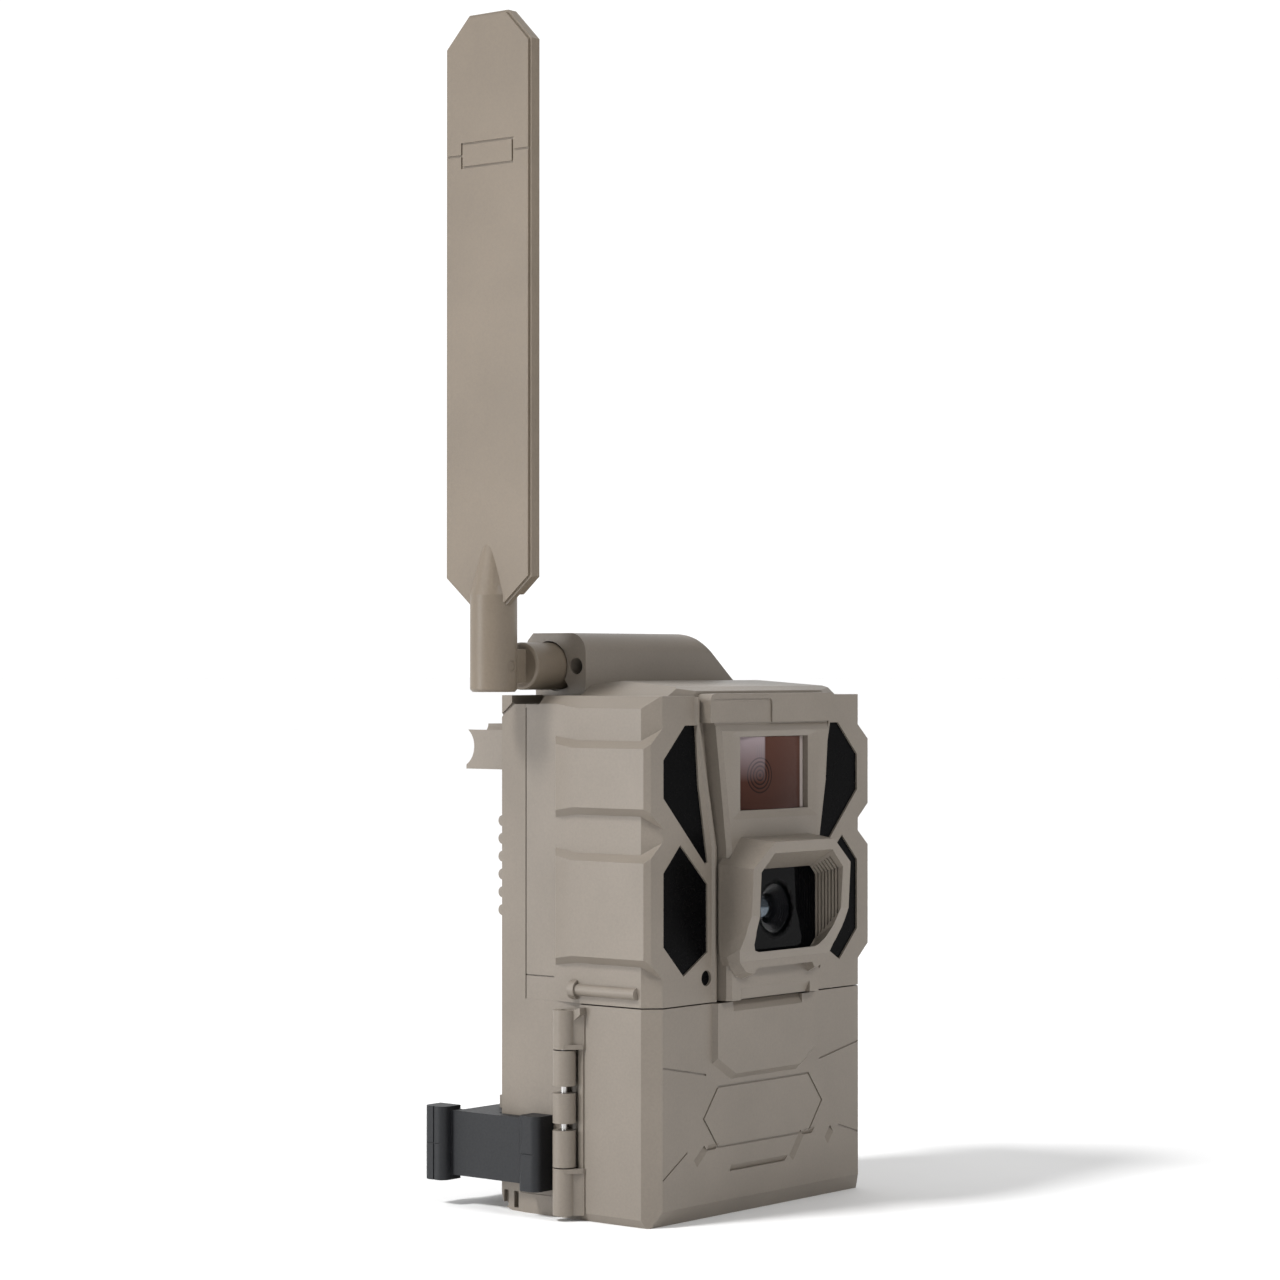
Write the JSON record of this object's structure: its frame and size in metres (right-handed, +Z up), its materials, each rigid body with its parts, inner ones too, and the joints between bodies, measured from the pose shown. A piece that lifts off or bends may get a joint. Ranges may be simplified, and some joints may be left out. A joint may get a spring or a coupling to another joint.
{
  "type": "trail camera",
  "caption": "Weatherproof trail camera: hooded lens, infrared and motion-sensor windows, side-hinged battery door, folding paddle antenna, tree feet and rear strap bracket.",
  "frame": {"origin": "centre of the case's flat underside", "axes": "+Z up, the lens looks towards -Y, +X to the right seen from the front"},
  "size_m": [0.118, 0.0916, 0.326],
  "materials": {
    "housing": "fine matte texture",
    "window": "dark infrared-clear",
    "sensor_film": "tinted, translucent",
    "lens_glass": "coated",
    "black_plastic": "matte",
    "board": "solder-masked",
    "steel": "plain",
    "brass": "plain",
    "seal": "soft",
    "cable": "smooth",
    "cell": "foil sleeve",
    "button_plastic": "satin",
    "led_resin": "clear",
    "screen": "gloss"
  },
  "bodies": {
    "case": {"antenna_lead": "cable", "antenna_mount_housing": "housing", "back_screws": "steel", "center_column": "housing", "control_board": "board", "control_panel": "black_plastic", "door_gasket": "seal", "door_hinge_pin": "steel", "electronics_frame": "black_plastic", "front_housing": "housing", "housing_gasket": "seal", "housing_screws": "steel", "image_sensor_board": "board", "ir_led_boards": "board", "ir_leds": "led_resin", "ir_window_lower_left": "window", "ir_window_lower_right": "window", "ir_window_upper_left": "window", "ir_window_upper_right": "window", "latch_pin": "steel", "lcd_screen": "screen", "lead_connector": "brass", "lens_barrel": "black_plastic", "lens_element": "lens_glass", "lens_glass": "lens_glass", "lens_holder": "black_plastic", "lens_hood": "housing", "light_sensor_window": "window", "main_board": "board", "microphone": "steel", "modem_module": "steel", "pir_sensor": "board", "pir_window": "sensor_film", "power_contacts": "steel", "power_jack": "black_plastic", "rear_housing": "housing", "sd_socket": "steel", "status_led": "led_resin", "strap_bracket": "black_plastic", "tree_foot_lower": "housing", "tree_plate_upper": "housing", "tripod_insert": "brass"},
    "door": {"battery_door": "housing"},
    "latch": {"latch_lever": "housing"},
    "antenna_base": {"antenna_sleeve": "housing", "swivel_clip": "steel"},
    "antenna_mast": {"antenna_mast": "housing", "antenna_back_shell": "housing", "antenna_radiator": "board", "elbow_pin": "steel"},
    "tray": {"battery_tray": "black_plastic", "aa_cells": "cell", "tray_contacts": "steel"},
    "button_up": {"button_up": "button_plastic"},
    "button_select": {"button_select": "button_plastic"},
    "button_down": {"button_down": "button_plastic"},
    "power_switch": {"power_switch": "button_plastic"},
    "sd_card": {"sd_card": "black_plastic"},
    "jack_plug": {"jack_plug": "seal"}
  },
  "joints": [
    {"name": "door_hinge", "type": "hinge", "parent": "case", "child": "door", "pos_m": [-0.0503, 0.001, 0.03], "axis": [0, 0, -1], "range_deg": [0, 105]},
    {"name": "latch_hinge", "type": "hinge", "parent": "case", "child": "latch", "pos_m": [0.0509, 0.0072, 0.0415], "axis": [0, 0, 1], "range_deg": [0, 80]},
    {"name": "antenna_swivel", "type": "hinge", "parent": "case", "child": "antenna_base", "pos_m": [-0.035, 0.02, 0.149], "axis": [1, 0, 0], "range_deg": [-90, 90]},
    {"name": "antenna_fold", "type": "hinge", "parent": "antenna_base", "child": "antenna_mast", "pos_m": [-0.0576, 0.02, 0.149], "axis": [0, -1, 0], "range_deg": [0, 90]},
    {"name": "tray_slide", "type": "slide", "parent": "case", "child": "tray", "axis": [0, -1, 0], "range_m": [0, 0.014]},
    {"name": "button_up_press", "type": "slide", "parent": "case", "child": "button_up", "axis": [0, 1, 0], "range_m": [0, 0.0008], "stiffness_N_per_m": 900, "springref_m": -0.0006},
    {"name": "button_select_press", "type": "slide", "parent": "case", "child": "button_select", "axis": [0, 1, 0], "range_m": [0, 0.0008], "stiffness_N_per_m": 900, "springref_m": -0.0006},
    {"name": "button_down_press", "type": "slide", "parent": "case", "child": "button_down", "axis": [0, 1, 0], "range_m": [0, 0.0008], "stiffness_N_per_m": 900, "springref_m": -0.0006},
    {"name": "power_switch_slide", "type": "slide", "parent": "case", "child": "power_switch", "axis": [0, 0, 1], "range_m": [0, 0.0045]},
    {"name": "sd_card_slide", "type": "slide", "parent": "case", "child": "sd_card", "axis": [0, -1, 0], "range_m": [0, 0.012]},
    {"name": "jack_plug_pull", "type": "slide", "parent": "case", "child": "jack_plug", "axis": [0, 0, -1], "range_m": [0, 0.005]}
  ]
}
